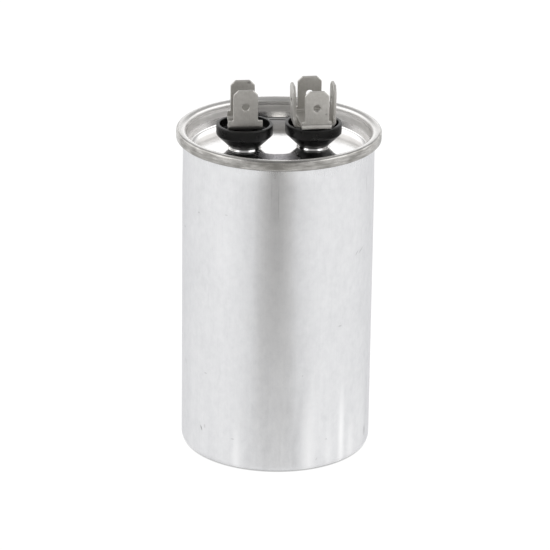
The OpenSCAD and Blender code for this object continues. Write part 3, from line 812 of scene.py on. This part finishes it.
# ---------------------------------------------------------------- floor, studio light and camera
TH = 6.3 * RAD
FRONT = (-math.sin(TH), -math.cos(TH))
DULL = (-math.sin(TH + 0.035), -math.cos(TH + 0.035))  # where the studio is dull

# a plain sheet that reaches far to the sides and behind, and ends a little way ahead
FLOOR_END = 0.115
corners = [(FRONT[0] * far - FRONT[1] * side, FRONT[1] * far + FRONT[0] * side, 0.0)
           for far, side in ((FLOOR_END, -3.0), (FLOOR_END, 3.0), (-3.0, 3.0), (-3.0, -3.0))]
floor_mesh = bpy.data.meshes.new("floor")
floor_mesh.from_pydata(corners, [], [(0, 1, 2, 3)])
floor = bpy.data.objects.new("floor", floor_mesh)
bpy.context.scene.collection.objects.link(floor)

fm = bpy.data.materials.new("pale_floor")
fm.use_nodes = True
t = fm.node_tree
t.nodes.clear()


def fnode(kind, inputs=None, **props):
    n = t.nodes.new(kind)
    for k, v in props.items():
        setattr(n, k, v)
    for k, v in (inputs or {}).items():
        if isinstance(v, bpy.types.NodeSocket):
            t.links.new(v, n.inputs[k])
        else:
            n.inputs[k].default_value = v
    return n


# evenly lit, with a painted contact shadow: a soft dark ring under the can
coord = fnode("ShaderNodeTexCoord").outputs["Object"]
reach = fnode("ShaderNodeVectorMath", {0: coord}, operation="LENGTH").outputs["Value"]
glow_and_contact_shadow = fnode("ShaderNodeMapRange", {"Value": reach, "From Min": 0.0236, "From Max": 0.0248, "To Min": 0.37, "To Max": 1.05}, interpolation_type="SMOOTHSTEP").outputs["Result"]
emit = fnode("ShaderNodeEmission", {"Color": (1.0, 1.0, 1.0, 1.0), "Strength": glow_and_contact_shadow})
out = fnode("ShaderNodeOutputMaterial")
t.links.new(emit.outputs[0], out.inputs["Surface"])
floor.data.materials.append(fm)

world = bpy.data.worlds.new("studio")
bpy.context.scene.world = world
world.use_nodes = True
t = world.node_tree
t.nodes.clear()
coord = fnode("ShaderNodeTexCoord").outputs["Generated"]
facing = fnode("ShaderNodeVectorMath", {0: coord, 1: (DULL[0], DULL[1], 0.0)}, operation="DOT_PRODUCT").outputs["Value"]
sep = fnode("ShaderNodeSeparateXYZ", {"Vector": coord}).outputs


def wspan(value, lo, hi, to_lo, to_hi):
    return fnode("ShaderNodeMapRange", {"Value": value, "From Min": lo, "From Max": hi, "To Min": to_lo, "To Max": to_hi}, interpolation_type="SMOOTHSTEP").outputs["Result"]


def wmix(share, a, b):
    return fnode("ShaderNodeMapRange", {"Value": share, "From Min": 0.0, "From Max": 1.0, "To Min": a, "To Max": b}).outputs["Result"]


# a white backdrop behind, paler sides, a dull ceiling and a duller front
level = wspan(facing, -0.93, -0.78, 1.3, 1.1)
front_level = fnode("ShaderNodeMath", {0: wspan(sep["Z"], 0.02, 0.10, 0.36, 1.00), 1: wspan(sep["Z"], 0.16, 0.30, 0.0, 0.52)}, operation="SUBTRACT").outputs[0]
level = wmix(wspan(facing, 0.83, 0.95, 0.0, 1.0), level, front_level)
across = fnode("ShaderNodeVectorMath", {0: coord, 1: (-DULL[1], DULL[0], 0.0)}, operation="DOT_PRODUCT").outputs["Value"]
around = fnode("ShaderNodeMath", {0: across, 1: facing}, operation="ARCTAN2").outputs[0]
around = fnode("ShaderNodeMath", {0: around}, operation="ABSOLUTE").outputs[0]
across = fnode("ShaderNodeMath", {0: across}, operation="ABSOLUTE").outputs[0]
wings = fnode("ShaderNodeMath", {0: wspan(sep["Z"], 0.30, 0.45, 0.0, 1.0), 1: wspan(across, 0.45, 0.70, 0.0, 0.72)}, operation="MULTIPLY").outputs[0]
level = fnode("ShaderNodeMath", {0: level, 1: wings}, operation="ADD").outputs[0]
high = fnode("ShaderNodeMath", {0: wspan(sep["Z"], 0.335, 0.41, 0.0, 1.0), 1: wspan(across, 0.35, 0.65, 1.0, 0.0)}, operation="MULTIPLY").outputs[0]
strength = wmix(high, level, wspan(facing, -0.3, 0.3, 0.50, 0.36))
# below the floor's level: dull ahead, past the end of the floor sheet, and white elsewhere
sector = wmix(wspan(sep["Z"], -0.40, -0.20, 1.0, 0.0), wspan(around, 0.31, 0.43, 1.0, 0.0), wspan(around, 0.03, 0.39, 1.0, 0.0))
below = wspan(sep["Z"], -0.02, 0.0, 1.0, 0.0)
strength = wmix(below, strength, wmix(sector, 1.05, wspan(sep["Z"], -0.60, -0.02, 0.26, 0.45)))
warmth = fnode("ShaderNodeMath", {0: sector, 1: wspan(sep["Z"], 0.20, 0.35, 1.0, 0.0)}, operation="MULTIPLY").outputs[0]
hue = fnode("ShaderNodeMix", {"Factor": warmth}, data_type="RGBA")
for key, tint in (("A", (1.0, 1.0, 1.0, 1.0)), ("B", (1.0, 0.975, 0.93, 1.0))):
    [s for s in hue.inputs if s.name == key and s.type == "RGBA"][0].default_value = tint
hue = [s for s in hue.outputs if s.type == "RGBA"][0]
back = fnode("ShaderNodeBackground", {"Color": hue, "Strength": strength})
out = fnode("ShaderNodeOutputWorld")
t.links.new(back.outputs[0], out.inputs["Surface"])

elev, dist, focal, roll, tx, tz = 21.674 * RAD, 877.218, 3325.892, 0.765 * RAD, -0.54, 45.745
turn_back = Matrix.Rotation(-TH, 3, "Z")
eye = turn_back @ Vector((0, -dist * math.cos(elev), 40 + dist * math.sin(elev)))
aim = turn_back @ Vector((tx, 0, tz))
fw = (aim - eye).normalized()
right = fw.cross(Vector((0, 0, 1))).normalized()
up = right.cross(fw)
r2 = math.cos(roll) * right + math.sin(roll) * up
u2 = -math.sin(roll) * right + math.cos(roll) * up
cam_data = bpy.data.cameras.new("camera")
cam_data.sensor_fit = "HORIZONTAL"
cam_data.sensor_width = 36.0
cam_data.lens = focal / 550 * 36
cam_data.clip_start, cam_data.clip_end = 0.01, 20.0
cam = bpy.data.objects.new("camera", cam_data)
bpy.context.scene.collection.objects.link(cam)
m4 = Matrix.Identity(4)
for i in range(3):
    m4[i][0], m4[i][1], m4[i][2], m4[i][3] = r2[i], u2[i], -fw[i], eye[i] * MM
cam.matrix_world = m4
bpy.context.scene.camera = cam

scene = bpy.context.scene
scene.view_settings.view_transform = "Standard"
scene.view_settings.look = "None"
scene.view_settings.exposure = 0.0
scene.view_settings.gamma = 1.0
